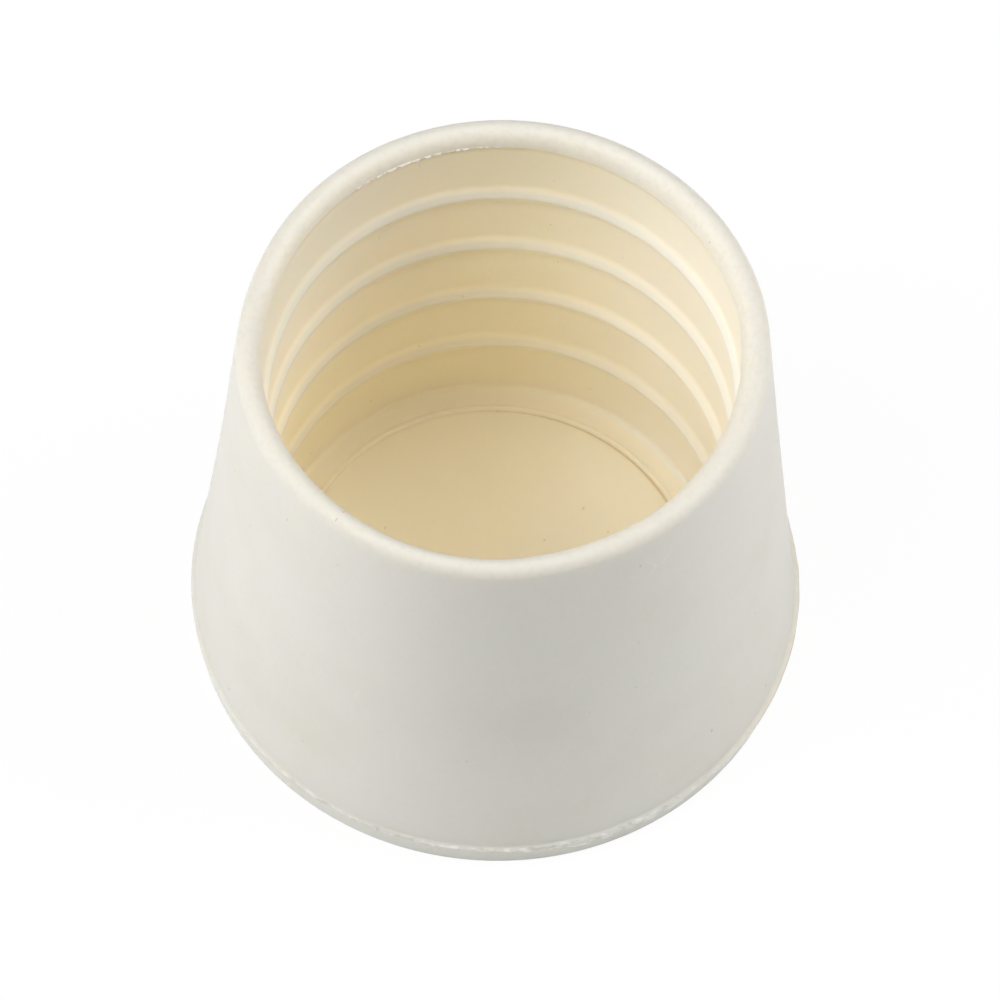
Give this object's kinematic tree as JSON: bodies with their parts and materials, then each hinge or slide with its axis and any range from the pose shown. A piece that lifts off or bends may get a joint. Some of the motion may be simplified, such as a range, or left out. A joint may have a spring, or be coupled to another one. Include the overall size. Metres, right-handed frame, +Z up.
{
  "type": "rubber ferrule foot",
  "caption": "Flared off-white rubber foot with a rolled rim and a ribbed round socket that pushes onto the end of a furniture leg or tube.",
  "frame": {"origin": "centre of the flat tread, on the ground", "axes": "+Z up along the socket's axis, out of its mouth; the foot is round, so +X and +Y are free"},
  "size_m": [0.0439, 0.0438, 0.036],
  "materials": {
    "rubber": "matt moulded, off-white"
  },
  "bodies": {
    "root": {"rubber_foot": "rubber"}
  },
  "joints": []
}
